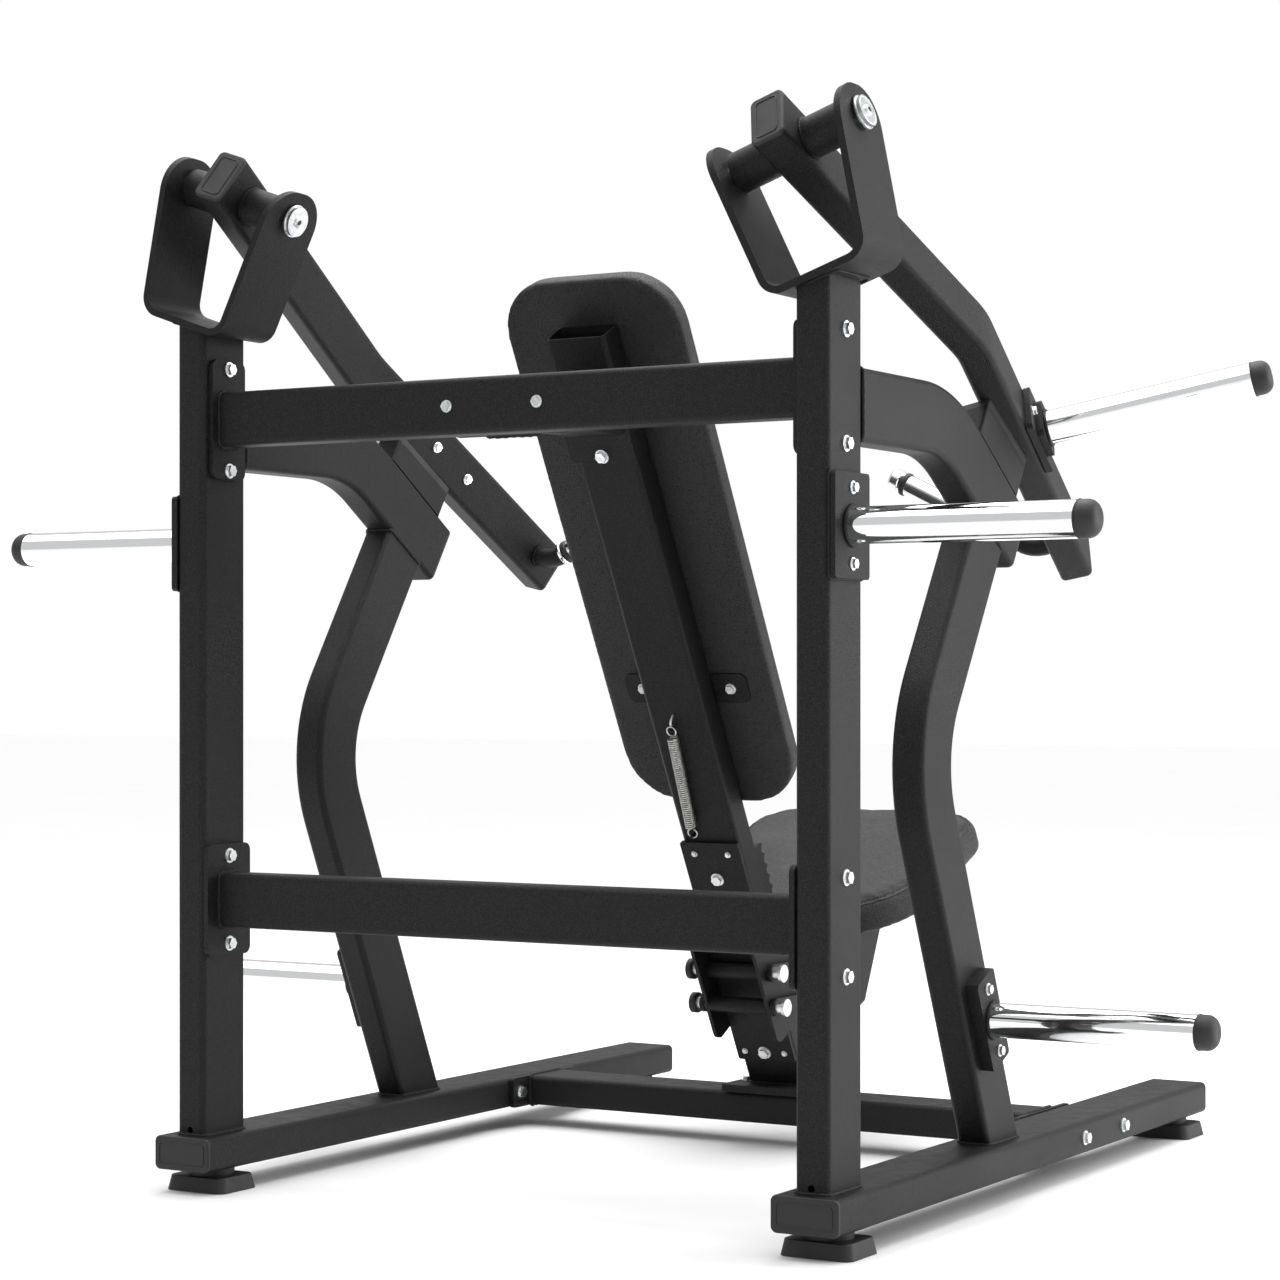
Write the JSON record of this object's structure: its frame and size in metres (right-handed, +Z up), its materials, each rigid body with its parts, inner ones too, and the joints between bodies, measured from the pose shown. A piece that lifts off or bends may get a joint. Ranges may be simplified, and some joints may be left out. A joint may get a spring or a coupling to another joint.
{
  "type": "plate-loaded chest press machine",
  "caption": "Plate-loaded incline chest press with two converging press arms, a leaning back pad, a linkage seat and side sleeves for weight plates.",
  "frame": {"origin": "middle of the footprint, on the floor", "axes": "+X to the seated user's left, -Y the way the user faces, +Z up"},
  "size_m": [1.788, 1.3629, 1.5341],
  "materials": {
    "black_steel": "fine-textured satin powder coat",
    "black_plastic": "fine moulded texture",
    "black_rubber": "matt moulded rubber",
    "chrome": "polished hard chrome",
    "zinc_hardware": "bright zinc plating",
    "spring_steel": "galvanised wire",
    "black_vinyl": "fine-grained synthetic leather over foam",
    "black_board": "plywood wrapped in thin black vinyl"
  },
  "bodies": {
    "frame": {"back_board": "black_board", "back_pad": "black_vinyl", "back_post": "black_steel", "base_tube_left": "black_steel", "base_tube_right": "black_steel", "centre_bolts": "zinc_hardware", "cross_member": "black_steel", "foot_front_left": "black_rubber", "foot_front_right": "black_rubber", "foot_rear_left": "black_rubber", "foot_rear_right": "black_rubber", "frame_bolts_left": "zinc_hardware", "frame_bolts_right": "zinc_hardware", "front_leg_left": "black_steel", "front_leg_right": "black_steel", "horn_caps_left": "black_rubber", "horn_caps_right": "black_rubber", "horn_plates_left": "black_steel", "horn_plates_right": "black_steel", "leg_horn_left": "chrome", "leg_horn_right": "chrome", "lower_crossbar": "black_steel", "pad_bracket": "black_steel", "pivot_bracket_left": "black_steel", "pivot_bracket_right": "black_steel", "pivot_pin_left": "zinc_hardware", "pivot_pin_right": "zinc_hardware", "post_bracket": "black_steel", "post_horn_left": "chrome", "post_horn_right": "chrome", "rear_post_left": "black_steel", "rear_post_right": "black_steel", "seat_bracket": "black_steel", "seat_spring": "spring_steel", "side_rail_left": "black_steel", "side_rail_right": "black_steel", "stop_bracket_left": "black_steel", "stop_bracket_right": "black_steel", "stop_rubber_left": "black_rubber", "stop_rubber_right": "black_rubber", "tube_plugs_left": "black_plastic", "tube_plugs_right": "black_plastic", "upper_crossbar": "black_steel"},
    "arm_left": {"press_arm_left": "black_steel", "hand_grip_left": "chrome", "arm_horn_plate_left": "black_steel", "arm_horn_left": "chrome", "arm_caps_left": "black_rubber"},
    "arm_right": {"press_arm_right": "black_steel", "hand_grip_right": "chrome", "arm_horn_plate_right": "black_steel", "arm_horn_right": "chrome", "arm_caps_right": "black_rubber"},
    "link_upper": {"seat_link_upper": "black_steel"},
    "link_lower": {"seat_link_lower": "black_steel"},
    "seat": {"seat_frame": "black_steel", "seat_board": "black_board", "seat_pad": "black_vinyl"},
    "lever": {"seat_lever": "zinc_hardware", "lever_knob": "black_plastic"}
  },
  "joints": [
    {"name": "left_arm_press", "type": "hinge", "parent": "frame", "child": "arm_left", "pos_m": [0.4626, 0.60443, 1.46], "axis": [-0.9455, 0, -0.3256], "range_deg": [0, 30]},
    {"name": "right_arm_press", "type": "hinge", "parent": "frame", "child": "arm_right", "pos_m": [-0.4626, 0.60443, 1.46], "axis": [-0.9455, 0, 0.3256], "range_deg": [0, 30]},
    {"name": "seat_lift", "type": "hinge", "parent": "frame", "child": "link_upper", "pos_m": [0, -0.08157, 0.291], "axis": [-1, 0, 0], "range_deg": [-5, 30]},
    {"name": "seat_level", "type": "hinge", "parent": "link_upper", "child": "seat", "pos_m": [0, -0.34157, 0.291], "axis": [-1, 0, 0], "range_deg": [-30, 5]},
    {"name": "seat_guide", "type": "hinge", "parent": "frame", "child": "link_lower", "pos_m": [0, -0.09257, 0.236], "axis": [-1, 0, 0], "range_deg": [-5, 30]},
    {"name": "seat_release", "type": "hinge", "parent": "seat", "child": "lever", "pos_m": [0.076, -0.4013, 0.30866], "axis": [-1, 0, 0], "range_deg": [0, 15], "stiffness_Nm_per_rad": 4}
  ],
  "couplings": [
    {"joint": "seat_level", "follows": "seat_lift", "ratio": -1},
    {"joint": "seat_guide", "follows": "seat_lift", "ratio": 1}
  ]
}
